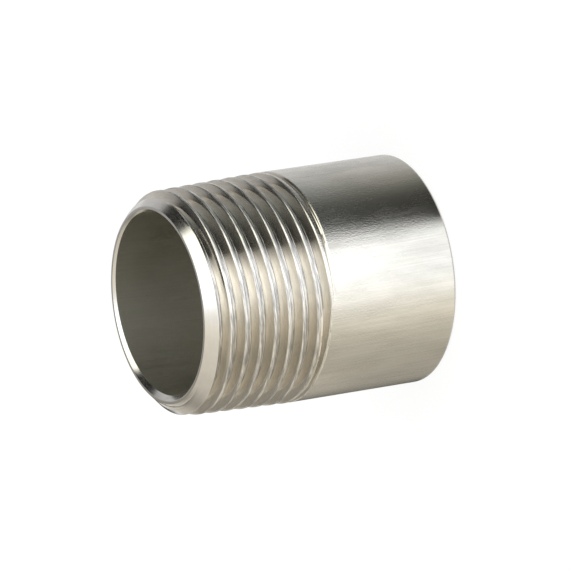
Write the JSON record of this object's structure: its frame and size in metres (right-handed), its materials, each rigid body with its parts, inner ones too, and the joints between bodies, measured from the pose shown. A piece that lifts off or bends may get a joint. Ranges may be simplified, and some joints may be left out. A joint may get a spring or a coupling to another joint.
{
  "type": "pipe nipple threaded at one end",
  "caption": "Short stainless steel pipe nipple with a right-hand taper pipe thread and chamfered mouth at one end and a plain square-cut end for welding at the other.",
  "frame": {"origin": "centre of the plain end's face, on the pipe's axis, which is the lowest plane of the part as it stands", "axes": "+Z along the pipe's axis from the plain end to the threaded end; the bore lies 0.24 mm off the outside's centre, 32 degrees from +X towards +Y"},
  "size_m": [0.0338, 0.0338, 0.04],
  "materials": {
    "stainless_steel": "plain drawn and turned stainless steel, fine lines along the pipe, bright thread"
  },
  "bodies": {
    "root": {"nipple": "stainless_steel"}
  },
  "joints": []
}
